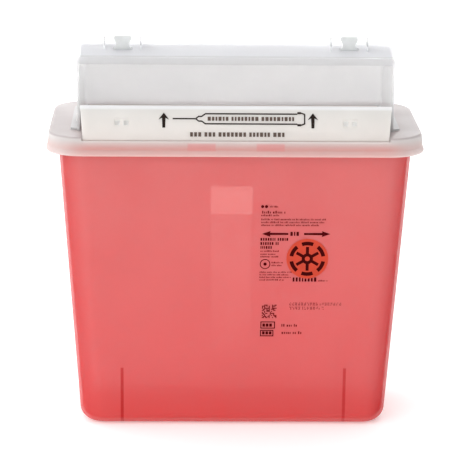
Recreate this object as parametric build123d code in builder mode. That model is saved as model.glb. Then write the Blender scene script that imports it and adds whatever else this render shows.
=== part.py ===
from build123d import *
import os
from math import cos, hypot, radians, sin, sqrt, tan

# Wall-bracket sharps container: a tapered red tub, a clip-on lid whose hood covers a tilting drop tray,
# and two push-down lock tabs. +Z is up, the front faces -Y, and the origin is the centre of the
# footprint on the floor. Millimetres.
os.makedirs("parts", exist_ok=True)

# ---------------------------------------------------------------- driving dimensions
LID_WIDTH = 273.0  # across the flared foot of the lid's skirt
LID_DEPTH = 140.0
LID_CORNER_R = 27.0
DECK_Z = 222.0  # top of the lid's deck above the floor
DECK_T = 2.0
DECK_EDGE_R = 2.2

SKIRT_H = 13.4
SKIRT_T = 1.9
SKIRT_FLARE = 1.1  # how far the skirt's foot stands out

TUB_BASE_W = 225.6  # outer size of the tub at the floor
TUB_BASE_D = 96.8
TUB_DRAFT = 4.0  # lean of every wall, degrees
TUB_WALL = 2.0
TUB_FLOOR = 2.6
TUB_CORNER_R = 18.0  # upright corners at the floor, and at the rim
TUB_TOP_R = 22.0
TUB_FOOT_R = 11.0

PIVOT_Y = -19.1  # axis of the drop tray, along X, which is also the centre of the hood's curve
PIVOT_Z = DECK_Z + 4.9
HOOD_R = 55.2
HOOD_T = 2.0
HOOD_HALF_W = 114.0
HOOD_FRONT_Y = -44.6
HOOD_RIM_H = 5.3
AXLE_R = 3.0
AXLE_CLEARANCE = 0.08

FLAP_FOOT = (-66.4, DECK_Z - 2.2)  # outer face of the tray's front flap, lower and upper edge, as (y, z)
FLAP_LIP = (-58.3, DECK_Z + 21.5)
FLAP_FOOT_W = 218.4
FLAP_LIP_W = 222.6
FLAP_T = 1.8
TRAY_T = 1.6
TRAY_LIFT = 65.0  # full tilt of the tray, degrees

TAB_X = 81.5
TAB_T = 2.4
TAB_TOP_Z = DECK_Z + 67.5

# ---------------------------------------------------------------- derived places
DRAFT_SLOPE = tan(radians(TUB_DRAFT))
LEDGE_DROP = 2.6  # depth of the step along the lid's front edge, which the flap hangs into
LEDGE_T = 1.2
TUB_H = DECK_Z - LEDGE_DROP - LEDGE_T
SKIRT_FOOT_Z = DECK_Z - SKIRT_H
LID_HALF_W = LID_WIDTH / 2 - SKIRT_FLARE
LID_HALF_D = LID_DEPTH / 2 - SKIRT_FLARE
SKIRT_IN_W = LID_HALF_W - SKIRT_T
SKIRT_IN_D = LID_HALF_D - SKIRT_T
SKIRT_IN_R = LID_CORNER_R - SKIRT_FLARE - SKIRT_T
LID_FRONT_Y = -LID_DEPTH / 2
HOOD_INNER_R = HOOD_R - HOOD_T
HOOD_INNER_HALF_W = HOOD_HALF_W - 1.9
HOOD_REAR_Y = PIVOT_Y + HOOD_R


def tub_half_size(z):
    """Outer half width and half depth of the tub at height z."""
    return TUB_BASE_W / 2 + z * DRAFT_SLOPE, TUB_BASE_D / 2 + z * DRAFT_SLOPE


def wall_plane(side):
    """Outer face of the tub's front (-1) or rear (1) wall: x across, y up the wall from the floor."""
    lean = radians(TUB_DRAFT)
    return Plane(
        origin=(0, side * TUB_BASE_D / 2, 0),
        x_dir=(-side, 0, 0),
        z_dir=(0, side * cos(lean), -sin(lean)),
    )


FRONT_WALL = wall_plane(-1)
REAR_WALL = wall_plane(1)

# ---------------------------------------------------------------- tub
CHANNEL_W = 31.0  # slot down the rear wall that slides over a wall bracket's tongue
CHANNEL_D = 6.0
CHANNEL_TOP = 158.5
SOCKET_H = 27.5  # deeper foot of the channel
SOCKET_D = 3.0
NEST_RIB = (2.2, 6.0, 45.5)  # inner ribs that stop nested tubs jamming: thickness, depth, height
NEST_RIB_X = 82.0
RIM_GAP = 1.5  # between the rim and the lid's skirt
RIM_W = 2 * (SKIRT_IN_W - RIM_GAP)
RIM_D = 2 * (SKIRT_IN_D - RIM_GAP)
RIM_R = SKIRT_IN_R - RIM_GAP
RIM_T = 2.0
RIM_LIP_H = 6.7
RIM_BEAD_H = 4.0
SNAP_TAB = (20.0, 2.4, 5.4)  # blocks on the rim, front and rear, that the lid's skirt snaps over
SNAP_TAB_X = 24.6
SNAP_TAB_OUT = 1.0
BASE_RECESS = (192.0, 50.0, 0.8)  # shallow hollow under the floor, so that the tub stands on a ring
BASE_RECESS_Y = -6.0
RIM_LIP_T = 1.6
RIM_BEAD_OUT = 0.6

top_w, top_d = tub_half_size(TUB_H)
floor_w, floor_d = tub_half_size(TUB_FLOOR)

with BuildPart() as tub_cavity:
    with BuildSketch(Plane.XY.offset(TUB_FLOOR)):
        RectangleRounded(2 * (floor_w - TUB_WALL), 2 * (floor_d - TUB_WALL), TUB_CORNER_R - TUB_WALL)
    with BuildSketch(Plane.XY.offset(TUB_H)):
        RectangleRounded(2 * (top_w - TUB_WALL), 2 * (top_d - TUB_WALL), TUB_TOP_R - TUB_WALL)
    loft(ruled=True)
    fillet(tub_cavity.edges().group_by(Axis.Z)[0], radius=TUB_FOOT_R - TUB_WALL)
    # The bracket channel's own walls stand into the tub.
    with BuildSketch(REAR_WALL):
        Rectangle(CHANNEL_W + 2 * TUB_WALL, CHANNEL_TOP + TUB_WALL, align=(Align.CENTER, Align.MIN))
    extrude(amount=-(CHANNEL_D + TUB_WALL), mode=Mode.SUBTRACT)
    with BuildSketch(REAR_WALL):
        Rectangle(CHANNEL_W + 2 * TUB_WALL, SOCKET_H + TUB_WALL, align=(Align.CENTER, Align.MIN))
    extrude(amount=-(CHANNEL_D + SOCKET_D + TUB_WALL), mode=Mode.SUBTRACT)
    for wall in (FRONT_WALL, REAR_WALL):
        with BuildSketch(wall):
            with Locations((-NEST_RIB_X, 0), (NEST_RIB_X, 0)):
                Rectangle(NEST_RIB[0], NEST_RIB[2], align=(Align.CENTER, Align.MIN))
        extrude(amount=-(TUB_WALL + NEST_RIB[1]), mode=Mode.SUBTRACT)

with BuildPart() as tub:
    with BuildSketch(Plane.XY):
        RectangleRounded(TUB_BASE_W, TUB_BASE_D, TUB_CORNER_R)
    with BuildSketch(Plane.XY.offset(TUB_H)):
        RectangleRounded(2 * top_w, 2 * top_d, TUB_TOP_R)
    loft(ruled=True)
    fillet(tub.edges().group_by(Axis.Z)[0], radius=TUB_FOOT_R)
    with BuildSketch(Plane.XY.offset(TUB_H - RIM_T)):
        RectangleRounded(RIM_W, RIM_D, RIM_R)
    extrude(amount=RIM_T)
    # Turned-down lip of the rim, with a bead along its foot that comes close to the lid's skirt.
    for out, height in ((0.0, RIM_LIP_H), (RIM_BEAD_OUT, RIM_BEAD_H)):
        with BuildSketch(Plane.XY.offset(TUB_H - RIM_LIP_H)):
            RectangleRounded(RIM_W + 2 * out, RIM_D + 2 * out, RIM_R + out)
            RectangleRounded(
                RIM_W - 2 * RIM_LIP_T, RIM_D - 2 * RIM_LIP_T, RIM_R - RIM_LIP_T, mode=Mode.SUBTRACT
            )
        extrude(amount=height)
    for side in (-1, 1):
        snap_tab_y = side * (RIM_D / 2 + SNAP_TAB_OUT)
        with Locations([(x, snap_tab_y, TUB_H) for x in (-SNAP_TAB_X, SNAP_TAB_X)]):
            Box(*SNAP_TAB, align=(Align.CENTER, Align.MAX if side > 0 else Align.MIN, Align.MAX))
    add(tub_cavity.part, mode=Mode.SUBTRACT)
    with BuildSketch(REAR_WALL):
        Rectangle(CHANNEL_W, CHANNEL_TOP, align=(Align.CENTER, Align.MIN))
    extrude(amount=-CHANNEL_D, mode=Mode.SUBTRACT)
    with BuildSketch(REAR_WALL):
        with Locations((0, -TUB_WALL)):
            Rectangle(CHANNEL_W, SOCKET_H + TUB_WALL, align=(Align.CENTER, Align.MIN))
    extrude(amount=-(CHANNEL_D + SOCKET_D), mode=Mode.SUBTRACT)
    with BuildSketch(Plane.XY):
        with Locations((0, BASE_RECESS_Y)):
            RectangleRounded(BASE_RECESS[0], BASE_RECESS[1], TUB_CORNER_R / 2)
    extrude(amount=BASE_RECESS[2], mode=Mode.SUBTRACT)

tub.part.label = "tub"
export_step(tub.part, "parts/tub.step")

# ---------------------------------------------------------------- lid deck
LEDGE_HALF_W = 110.0
LEDGE_BACK_Y = LID_FRONT_Y + 7.5
LEDGE_WALL = 1.8  # walls around the step, under the deck
THROAT_HALF_W = 109.8  # the hole in the deck that the tray swings down through
THROAT_FRONT_Y = LID_FRONT_Y + 46.0
THROAT_BACK_Y = LID_FRONT_Y + 103.4
PLUG_T = 1.6
PLUG_H = 10.0
PLUG_GAP = 0.5
SEAT_RIB_T = 1.6
SEAT_RIB_SIDE_Y = (-32.0, 0.0, 32.0)
SEAT_RIB_BACK_X = (-90.0, -45.0, 0.0, 45.0, 90.0)
RIB_BITE = 0.5  # how far a rib runs into the walls that it joins
CATCH_X = 70.0
CATCH_L = 24.0
CATCH_H = 1.8
CATCH_STEP = 1.5
CATCH_Z = TUB_H - RIM_LIP_H - 0.3  # a small gap under the rim
FLANGE_HALF_W = 119.0  # foot flange of the hood
FLANGE_FRONT_Y = LID_FRONT_Y + 29.0
FLANGE_BACK_Y = LID_FRONT_Y + 110.0
FLANGE_T = 1.5
FLANGE_R = 3.0
LEG = (8.0, 1.4, 5.4)  # snap legs of the hood: length, thickness, height below the flange
LEG_SIDE_Y = (-26.0, 18.0)
LEG_BACK_X = (-75.0, 0.0, 75.0)
LEG_HOOK = 0.9
HOOK_GAP = 0.3
LEG_INSET = 2.6
LEG_CLEARANCE = 0.4

# Skirt outline from its foot up to the deck: height under the deck, and how far out of the plain skirt.
SKIRT_SECTIONS = (
    (SKIRT_H, 0.5),
    (SKIRT_H - 0.9, SKIRT_FLARE),
    (SKIRT_H - 2.2, SKIRT_FLARE - 0.2),
    (SKIRT_H - 4.4, 0.0),
    (0.0, -0.5),
)
# Snap legs as (x, y, true where the leg's length runs along x).
LEG_PLACES = [(side * (FLANGE_HALF_W - LEG_INSET), y, False) for side in (-1, 1) for y in LEG_SIDE_Y]
LEG_PLACES += [(x, FLANGE_BACK_Y - LEG_INSET, True) for x in LEG_BACK_X]

plug_w, plug_d = (half - TUB_WALL - PLUG_GAP for half in tub_half_size(TUB_H - PLUG_H))
PLUG_R = TUB_TOP_R - TUB_WALL

with BuildPart() as lid_deck:
    for below, out in SKIRT_SECTIONS:
        with BuildSketch(Plane.XY.offset(DECK_Z - below)):
            RectangleRounded(2 * (LID_HALF_W + out), 2 * (LID_HALF_D + out), LID_CORNER_R - SKIRT_FLARE + out)
    loft(ruled=True)
    fillet(lid_deck.edges().group_by(Axis.Z)[-1], radius=DECK_EDGE_R)
    with BuildSketch(Plane.XY.offset(SKIRT_FOOT_Z)):
        RectangleRounded(2 * SKIRT_IN_W, 2 * SKIRT_IN_D, SKIRT_IN_R)
    extrude(amount=SKIRT_H - DECK_T, mode=Mode.SUBTRACT)
    # Sealing wall that plugs the tub's mouth.
    with BuildSketch(Plane.XY.offset(TUB_H - PLUG_H)):
        RectangleRounded(2 * plug_w, 2 * plug_d, PLUG_R)
        RectangleRounded(2 * (plug_w - PLUG_T), 2 * (plug_d - PLUG_T), PLUG_R - PLUG_T, mode=Mode.SUBTRACT)
    extrude(amount=DECK_Z - DECK_T - TUB_H + PLUG_H)
    # Ribs between sealing wall and skirt that sit on the tub's rim.
    rib_drop = DECK_Z - DECK_T - TUB_H
    side_rib_x = (plug_w + SKIRT_IN_W) / 2
    side_rib_l = SKIRT_IN_W - plug_w + 2 * RIB_BITE
    with Locations([(side * side_rib_x, y, TUB_H) for side in (-1, 1) for y in SEAT_RIB_SIDE_Y]):
        Box(side_rib_l, SEAT_RIB_T, rib_drop, align=(Align.CENTER, Align.CENTER, Align.MIN))
    back_rib_y = (plug_d + SKIRT_IN_D) / 2
    back_rib_l = SKIRT_IN_D - plug_d + 2 * RIB_BITE
    with Locations([(x, back_rib_y, TUB_H) for x in SEAT_RIB_BACK_X]):
        Box(SEAT_RIB_T, back_rib_l, rib_drop, align=(Align.CENTER, Align.CENTER, Align.MIN))
    # Catches under the tub's rim.
    with Locations([(x, side * SKIRT_IN_D, CATCH_Z) for x in (-CATCH_X, CATCH_X) for side in (-1, 1)]):
        Box(CATCH_L, 2 * CATCH_STEP, CATCH_H, align=(Align.CENTER, Align.CENTER, Align.MAX))
    with Locations([(side * SKIRT_IN_W, 0, CATCH_Z) for side in (-1, 1)]):
        Box(2 * CATCH_STEP, CATCH_L, CATCH_H, align=(Align.CENTER, Align.CENTER, Align.MAX))
    # Step along the front edge for the flap's foot.
    step_front_y = -SKIRT_IN_D - SKIRT_T / 2
    with Locations((0, step_front_y, TUB_H)):
        Box(
            2 * (LEDGE_HALF_W + LEDGE_WALL), LEDGE_BACK_Y + LEDGE_WALL - step_front_y,
            DECK_Z - DECK_T / 2 - TUB_H,
            align=(Align.CENTER, Align.MIN, Align.MIN),
        )
    with Locations((0, LEDGE_BACK_Y, DECK_Z - LEDGE_DROP)):
        Box(
            2 * LEDGE_HALF_W, 2 * (LEDGE_BACK_Y - LID_FRONT_Y), 2 * LEDGE_DROP,
            align=(Align.CENTER, Align.MAX, Align.MIN), mode=Mode.SUBTRACT,
        )
    # Throat, and slots for the hood's snap legs.
    with Locations((0, (THROAT_FRONT_Y + THROAT_BACK_Y) / 2, DECK_Z)):
        Box(2 * THROAT_HALF_W, THROAT_BACK_Y - THROAT_FRONT_Y, 4 * DECK_T, mode=Mode.SUBTRACT)
    for x, y, along_x in LEG_PLACES:
        slot = (LEG[0] + LEG_CLEARANCE, LEG[1] + LEG_CLEARANCE + 2 * LEG_HOOK)
        with Locations((x, y, DECK_Z)):
            Box(*(slot if along_x else slot[::-1]), 4 * DECK_T, mode=Mode.SUBTRACT)

lid_deck.part.label = "lid_deck"
export_step(lid_deck.part, "parts/lid_deck.step")

# ---------------------------------------------------------------- hood
ROOF_EDGE_R = 3.0
INNER_EDGE_R = 2.4
HOOD_FRONT_T = 1.6
GUARD_OFFSET = 13.1
GUARD = (1.0, 11.0)  # thickness and length of the guard fins beside each lock tab
GUARD_SET_BACK = 2.0
GUARD_ROOT = 8.0
SLOT = (13.8, 3.2)  # roof slot for a lock tab
BOSS_R = 4.6
BOSS_H = 0.8
CUT = 40.0  # length of plain through cuts


def roof_z(radius, y):
    """Height of a cylinder of this radius about the pivot, at depth y."""
    return PIVOT_Z + sqrt(radius**2 - (y - PIVOT_Y) ** 2)


def swung(y, z, angle):
    """Where the tray carries the point (y, z) when its flap has risen by angle degrees."""
    turn = radians(angle)
    dy, dz = y - PIVOT_Y, z - PIVOT_Z
    return PIVOT_Y + dy * cos(turn) + dz * sin(turn), PIVOT_Z - dy * sin(turn) + dz * cos(turn)


flap_run = (FLAP_LIP[0] - FLAP_FOOT[0], FLAP_LIP[1] - FLAP_FOOT[1])
FLAP_H = hypot(*flap_run)
FLAP_UP = (flap_run[0] / FLAP_H, flap_run[1] / FLAP_H)
FLAP_FACE = Plane(origin=(0, *FLAP_FOOT), x_dir=(1, 0, 0), z_dir=(0, -FLAP_UP[1], FLAP_UP[0]))
POCKET_UP = FLAP_H / 2  # height up the flap of the pockets that the lock tabs enter
# The tabs stand where the raised flap brings its pockets.
pocket_y = FLAP_FOOT[0] + POCKET_UP * FLAP_UP[0] + FLAP_T / 2 * FLAP_UP[1]
pocket_z = FLAP_FOOT[1] + POCKET_UP * FLAP_UP[1] - FLAP_T / 2 * FLAP_UP[0]
TAB_Y = swung(pocket_y, pocket_z, TRAY_LIFT)[0]


with BuildPart() as hood_cavity:
    inner_front = HOOD_FRONT_Y + HOOD_FRONT_T
    with BuildSketch(Plane.YZ):
        with BuildLine():
            crest = ThreePointArc(
                (inner_front, roof_z(HOOD_INNER_R, inner_front)),
                (PIVOT_Y, PIVOT_Z + HOOD_INNER_R),
                (PIVOT_Y + HOOD_INNER_R, PIVOT_Z),
            )
            Polyline(
                crest @ 1,
                (PIVOT_Y + HOOD_INNER_R, DECK_Z),
                (inner_front, DECK_Z),
                crest @ 0,
            )
        make_face()
    extrude(amount=HOOD_INNER_HALF_W, both=True)
    rear_corners = hood_cavity.faces().sort_by(Axis.Y)[-1].edges().filter_by(Axis.Z)
    fillet(hood_cavity.edges().filter_by(GeomType.CIRCLE) + rear_corners, radius=INNER_EDGE_R)

with BuildPart() as hood:
    with BuildSketch(Plane.YZ):
        with BuildLine():
            crest = ThreePointArc(
                (HOOD_FRONT_Y, roof_z(HOOD_R, HOOD_FRONT_Y)),
                (PIVOT_Y, PIVOT_Z + HOOD_R),
                (HOOD_REAR_Y, PIVOT_Z),
            )
            Polyline(crest @ 1, (HOOD_REAR_Y, DECK_Z), (HOOD_FRONT_Y, DECK_Z), crest @ 0)
        make_face()
    extrude(amount=HOOD_HALF_W, both=True)
    fillet(hood.edges().filter_by(GeomType.CIRCLE), radius=ROOF_EDGE_R)
    # Foot flange on three sides.
    with BuildSketch(Plane.XY.offset(DECK_Z)):
        with Locations((0, (FLANGE_FRONT_Y + FLANGE_BACK_Y) / 2)):
            RectangleRounded(2 * FLANGE_HALF_W, FLANGE_BACK_Y - FLANGE_FRONT_Y, FLANGE_R)
    extrude(amount=FLANGE_T)
    # Guard fins beside the lock tabs.
    fin_foot = roof_z(HOOD_R, TAB_Y + GUARD[1] / 2) - GUARD_ROOT
    for tab_x in (-TAB_X, TAB_X):
        for fin_x in (tab_x - GUARD_OFFSET, tab_x + GUARD_OFFSET):
            with Locations((fin_x, TAB_Y + GUARD_SET_BACK, fin_foot)):
                Box(*GUARD, TAB_TOP_Z - fin_foot, align=(Align.CENTER, Align.CENTER, Align.MIN))
    # Bearing bosses.
    with Locations(Plane.YZ.offset(-HOOD_HALF_W - BOSS_H), Plane.YZ.offset(HOOD_HALF_W)):
        with Locations((PIVOT_Y, PIVOT_Z)):
            Cylinder(BOSS_R, BOSS_H, align=(Align.CENTER, Align.CENTER, Align.MIN))
    add(hood_cavity.part, mode=Mode.SUBTRACT)
    # Front mouth under the rim.
    mouth_top = roof_z(HOOD_R, HOOD_FRONT_Y) - HOOD_RIM_H
    with Locations((0, HOOD_FRONT_Y, DECK_Z)):
        Box(
            2 * HOOD_INNER_HALF_W, 4 * HOOD_FRONT_T, mouth_top - DECK_Z,
            align=(Align.CENTER, Align.CENTER, Align.MIN), mode=Mode.SUBTRACT,
        )
    with Locations((-TAB_X, TAB_Y, TAB_TOP_Z), (TAB_X, TAB_Y, TAB_TOP_Z)):
        Box(*SLOT, CUT, mode=Mode.SUBTRACT)
    with Locations(Plane.YZ):
        with Locations((PIVOT_Y, PIVOT_Z)):
            Cylinder(AXLE_R + AXLE_CLEARANCE, 2 * FLANGE_HALF_W, mode=Mode.SUBTRACT)
    # Snap legs through the deck, each with a hook under it.
    for x, y, along_x in LEG_PLACES:
        leg = (LEG[0], LEG[1])
        with Locations((x, y, DECK_Z)):
            Box(*(leg if along_x else leg[::-1]), LEG[2], align=(Align.CENTER, Align.CENTER, Align.MAX))
        outward = (0, LEG_HOOK) if along_x else (LEG_HOOK if x > 0 else -LEG_HOOK, 0)
        with Locations((x + outward[0], y + outward[1], DECK_Z - DECK_T - HOOK_GAP)):
            Box(
                *(leg if along_x else leg[::-1]), LEG[2] - DECK_T - HOOK_GAP,
                align=(Align.CENTER, Align.CENTER, Align.MAX),
            )

hood.part.label = "hood"
export_step(hood.part, "parts/hood.step")

# ---------------------------------------------------------------- drop tray
LIP_R = 1.9
END_WALL_X = 108.0
END_WALL_T = 1.6
END_WALL_DROP = 3.4  # top of the end walls, below the lip
END_WALL_BACK = 16.0  # how far they run behind the axle
TRAY_FLOOR_Z = DECK_Z + 1.4
TRAY_REAR_Y = PIVOT_Y + 50.1
TRAY_REAR_H = 3.0
HUB_R = 4.6
HUB_GAP = 0.3
AXLE_END_X = HOOD_HALF_W + 1.4
POCKET = (11.4, 7.4, 0.6)  # width, height and depth
POCKET_R = 2.2
PRONG_X = 3.15  # centre of each prong of a lock tab, and of its hole
PRONG_W = 2.8
PRONG_HOLE = (PRONG_W + 0.6, 3.3)
CUP = (13.6, 6.6, 2.4)  # closed cup behind each pocket: width, height, depth behind the flap
CUP_FLOOR = 0.8

with BuildPart() as drop_tray:
    with BuildSketch(FLAP_FACE):
        with BuildLine():
            Polyline(
                (-FLAP_FOOT_W / 2, 0),
                (FLAP_FOOT_W / 2, 0),
                (FLAP_LIP_W / 2, FLAP_H),
                (-FLAP_LIP_W / 2, FLAP_H),
                close=True,
            )
        make_face()
    extrude(amount=-FLAP_T)
    # The flap's foot is cut level.
    with Locations((0, *FLAP_FOOT)):
        Box(
            FLAP_LIP_W, 4 * FLAP_T, 2 * FLAP_T,
            align=(Align.CENTER, Align.CENTER, Align.MAX), mode=Mode.SUBTRACT,
        )
    # Rolled lip along the flap's upper edge.
    with BuildSketch(Plane.YZ):
        with Locations((
            FLAP_LIP[0] - LIP_R * (FLAP_UP[0] - FLAP_UP[1]),
            FLAP_LIP[1] - LIP_R * (FLAP_UP[0] + FLAP_UP[1]),
        )):
            Circle(LIP_R)
    extrude(amount=FLAP_LIP_W / 2, both=True)
    # Floor, with a low rear rim.
    floor_front_y = FLAP_FOOT[0] + FLAP_T
    with Locations((0, floor_front_y, TRAY_FLOOR_Z)):
        Box(
            2 * END_WALL_X, TRAY_REAR_Y - floor_front_y, TRAY_T,
            align=(Align.CENTER, Align.MIN, Align.MIN),
        )
    with Locations((0, TRAY_REAR_Y, TRAY_FLOOR_Z)):
        Box(2 * END_WALL_X, TRAY_T, TRAY_REAR_H, align=(Align.CENTER, Align.MAX, Align.MIN))
    # End walls from the flap back to the hubs, with hubs and stub axles.
    for inner_x in (-END_WALL_X, END_WALL_X - END_WALL_T):
        with BuildSketch(Plane.YZ.offset(inner_x)):
            with BuildLine():
                Polyline(
                    (floor_front_y, TRAY_FLOOR_Z),
                    (FLAP_LIP[0] + FLAP_T / 2, FLAP_LIP[1] - END_WALL_DROP),
                    (PIVOT_Y, PIVOT_Z + HUB_R),
                    (PIVOT_Y + END_WALL_BACK, TRAY_FLOOR_Z + TRAY_T),
                    (PIVOT_Y + END_WALL_BACK, TRAY_FLOOR_Z),
                    close=True,
                )
            make_face()
        extrude(amount=END_WALL_T)
    hub_end_x = HOOD_INNER_HALF_W - HUB_GAP
    for side in (-1, 1):
        wall_x = END_WALL_X - END_WALL_T
        with Locations(Plane(origin=(side * wall_x, PIVOT_Y, PIVOT_Z), z_dir=(side, 0, 0))):
            Cylinder(HUB_R, hub_end_x - wall_x, align=(Align.CENTER, Align.CENTER, Align.MIN))
            Cylinder(AXLE_R, AXLE_END_X - wall_x, align=(Align.CENTER, Align.CENTER, Align.MIN))
    # Pockets for the lock tabs: a shallow recess with two blind prong holes in a cup behind the flap.
    with BuildSketch(FLAP_FACE.offset(-FLAP_T)):
        with Locations((-TAB_X, POCKET_UP), (TAB_X, POCKET_UP)):
            RectangleRounded(CUP[0], CUP[1], POCKET_R)
    extrude(amount=-CUP[2])
    with BuildSketch(FLAP_FACE):
        with Locations((-TAB_X, POCKET_UP), (TAB_X, POCKET_UP)):
            RectangleRounded(POCKET[0], POCKET[1], POCKET_R)
    extrude(amount=-POCKET[2], mode=Mode.SUBTRACT)
    with BuildSketch(FLAP_FACE):
        prong_places = [
            (side * TAB_X + prong * PRONG_X, POCKET_UP) for side in (-1, 1) for prong in (-1, 1)
        ]
        with Locations(prong_places):
            Rectangle(*PRONG_HOLE)
    extrude(amount=-(FLAP_T + CUP[2] - CUP_FLOOR), mode=Mode.SUBTRACT)

drop_tray.part.label = "drop_tray"
export_step(drop_tray.part, "parts/drop_tray.step")

# ---------------------------------------------------------------- lock tabs
TAB_HALF_HEAD = 6.3
TAB_HALF_WAIST = 4.6
TAB_HALF_SHOULDER = 6.6  # shoulders that guide the tab in its slot
TAB_HEAD_H = 2.8  # straight edge of the head, and its cut corner
TAB_HEAD_CORNER = 0.8
TAB_WAIST_Z = (DECK_Z + 60.2, DECK_Z + 62.0)
TAB_SHOULDER_Z = (DECK_Z + 54.7, DECK_Z + 57.8)
TAB_ARCH_Z = DECK_Z + 57.0
TAB_FOOT_Z = DECK_Z + 51.6
PRONG_TIP = (0.7, 1.0)  # lead-in at the foot of each prong, across and up
ARCH_R = PRONG_X - PRONG_W / 2  # arch between the prongs

for name, tab_x in (("lock_tab_left", -TAB_X), ("lock_tab_right", TAB_X)):
    with BuildPart() as lock_tab:
        outer_x = PRONG_X + PRONG_W / 2
        with BuildSketch(Plane(origin=(tab_x, TAB_Y, 0), x_dir=(1, 0, 0), z_dir=(0, -1, 0))):
            with BuildLine():
                Polyline(
                    (0, TAB_ARCH_Z),
                    (0, TAB_TOP_Z),
                    (TAB_HALF_HEAD - TAB_HEAD_CORNER, TAB_TOP_Z),
                    (TAB_HALF_HEAD, TAB_TOP_Z - TAB_HEAD_CORNER),
                    (TAB_HALF_HEAD, TAB_TOP_Z - TAB_HEAD_H),
                    (TAB_HALF_WAIST, TAB_WAIST_Z[1]),
                    (TAB_HALF_WAIST, TAB_WAIST_Z[0]),
                    (TAB_HALF_SHOULDER, TAB_SHOULDER_Z[1]),
                    (TAB_HALF_SHOULDER, TAB_SHOULDER_Z[0]),
                    (outer_x, TAB_SHOULDER_Z[0]),
                    (outer_x, TAB_FOOT_Z + PRONG_TIP[1]),
                    (outer_x - PRONG_TIP[0], TAB_FOOT_Z),
                    (ARCH_R, TAB_FOOT_Z),
                    (ARCH_R, TAB_ARCH_Z - ARCH_R),
                )
                CenterArc((0, TAB_ARCH_Z - ARCH_R), ARCH_R, 0, 90)
            make_face()
            mirror(about=Plane.YZ)
        extrude(amount=TAB_T / 2, both=True)
    lock_tab.part.label = name
    export_step(lock_tab.part, f"parts/{name}.step")

# ---------------------------------------------------------------- labels
DISC_X = 52.7
DISC_UP = 131.0  # height up the front wall
DISC_R = 15.2
LABEL_T = 0.2
REAR_LABEL = (28.8, 21.4)
REAR_LABEL_R = 1.0
REAR_LABEL_MARGIN = 1.2  # below the channel's ledge

with BuildPart() as hazard_disc:
    with BuildSketch(FRONT_WALL):
        with Locations((DISC_X, DISC_UP)):
            Circle(DISC_R)
    extrude(amount=LABEL_T)

hazard_disc.part.label = "hazard_disc"
export_step(hazard_disc.part, "parts/hazard_disc.step")

with BuildPart() as rear_label:
    with BuildSketch(REAR_WALL.offset(-CHANNEL_D)):
        with Locations((0, CHANNEL_TOP - REAR_LABEL_MARGIN - REAR_LABEL[1] / 2)):
            RectangleRounded(*REAR_LABEL, REAR_LABEL_R)
    extrude(amount=LABEL_T)

rear_label.part.label = "rear_label"
export_step(rear_label.part, "parts/rear_label.step")
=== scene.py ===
import random
from math import cos, hypot, pi, radians, sin

import bmesh
import bpy
from mathutils import Matrix, Vector


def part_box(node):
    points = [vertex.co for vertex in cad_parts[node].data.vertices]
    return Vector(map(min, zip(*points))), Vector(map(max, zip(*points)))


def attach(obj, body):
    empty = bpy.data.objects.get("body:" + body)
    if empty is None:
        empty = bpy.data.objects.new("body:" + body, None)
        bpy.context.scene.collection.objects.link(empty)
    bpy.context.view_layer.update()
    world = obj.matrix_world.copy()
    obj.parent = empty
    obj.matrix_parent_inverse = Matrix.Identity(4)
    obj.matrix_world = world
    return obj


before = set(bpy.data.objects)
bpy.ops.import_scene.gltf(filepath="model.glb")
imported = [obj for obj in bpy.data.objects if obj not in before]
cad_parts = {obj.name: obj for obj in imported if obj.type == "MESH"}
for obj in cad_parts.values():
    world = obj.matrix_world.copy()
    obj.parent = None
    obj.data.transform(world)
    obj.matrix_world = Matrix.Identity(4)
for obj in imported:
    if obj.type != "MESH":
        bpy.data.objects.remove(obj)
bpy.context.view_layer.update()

# Looks of the sharps container: camera, studio, plastics, labels and printed marks. Metres, row frame.
# Printed marks are laid out in millimetres across and up the flat face that carries them.
MM = 0.001

# ---------------------------------------------------------------- camera
CAMERA_AT = (-0.0415, -1.6979, 0.5706)
CAMERA_PITCH = radians(14.434)  # below the horizon
CAMERA_YAW = radians(-1.451)
CAMERA_ROLL = radians(0.575)
LENS_MM = 179.4
SENSOR_MM = 36.0

# ---------------------------------------------------------------- studio
FLOOR_SIZE = 16.0
FLOOR_COLOUR = (0.97, 0.97, 0.97)
FLOOR_GLOW = 0.26  # the floor is a lit white panel
WORLD_LEVEL = 1.10  # brightness of the surroundings, and how much it grows to the left and to the back
WORLD_TO_LEFT = 0.60
WORLD_TO_BACK = 0.30
LIGHTS = (
    # name, place, size, watts
    ("key", (-1.1, -2.0, 1.3), 1.5, 8.0),
    ("top", (0.2, -0.3, 2.2), 1.2, 1.0),
    ("rear", (0.1, 2.0, 0.45), 1.1, 12.0),
)
LIGHT_AIM = (0.0, 0.0, 0.14)

# ---------------------------------------------------------------- colours, linear, and strengths of glow
RED_MID = (0.79, 0.140, 0.140)  # tub: its wall, and where it is thicker, deeper or backed by the label, and the painted shade of its corners
RED_TOP = (0.76, 0.175, 0.172)
RED_FOOT = (0.78, 0.095, 0.092)
RED_DEEP = (0.60, 0.006, 0.008)
RED_RIB = (0.58, 0.015, 0.016)
RED_FLOOR = (0.82, 0.120, 0.118)
RED_LABEL_BACKED = (1.0, 0.50, 0.46)
WINDOW_GLOW_COLOUR = (0.80, 0.72, 0.68)  # colour of the painted glow on the rear wall, standing in for light passed through from behind
WINDOW_GLOW = 0.70  # how strong that painted glow is behind the label, and down the rest of the bracket channel
CHANNEL_GLOW = 0.16
NATURAL = (0.74, 0.737, 0.742)  # hood and lock tabs
NATURAL_COOL = (0.70, 0.698, 0.707)
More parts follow.
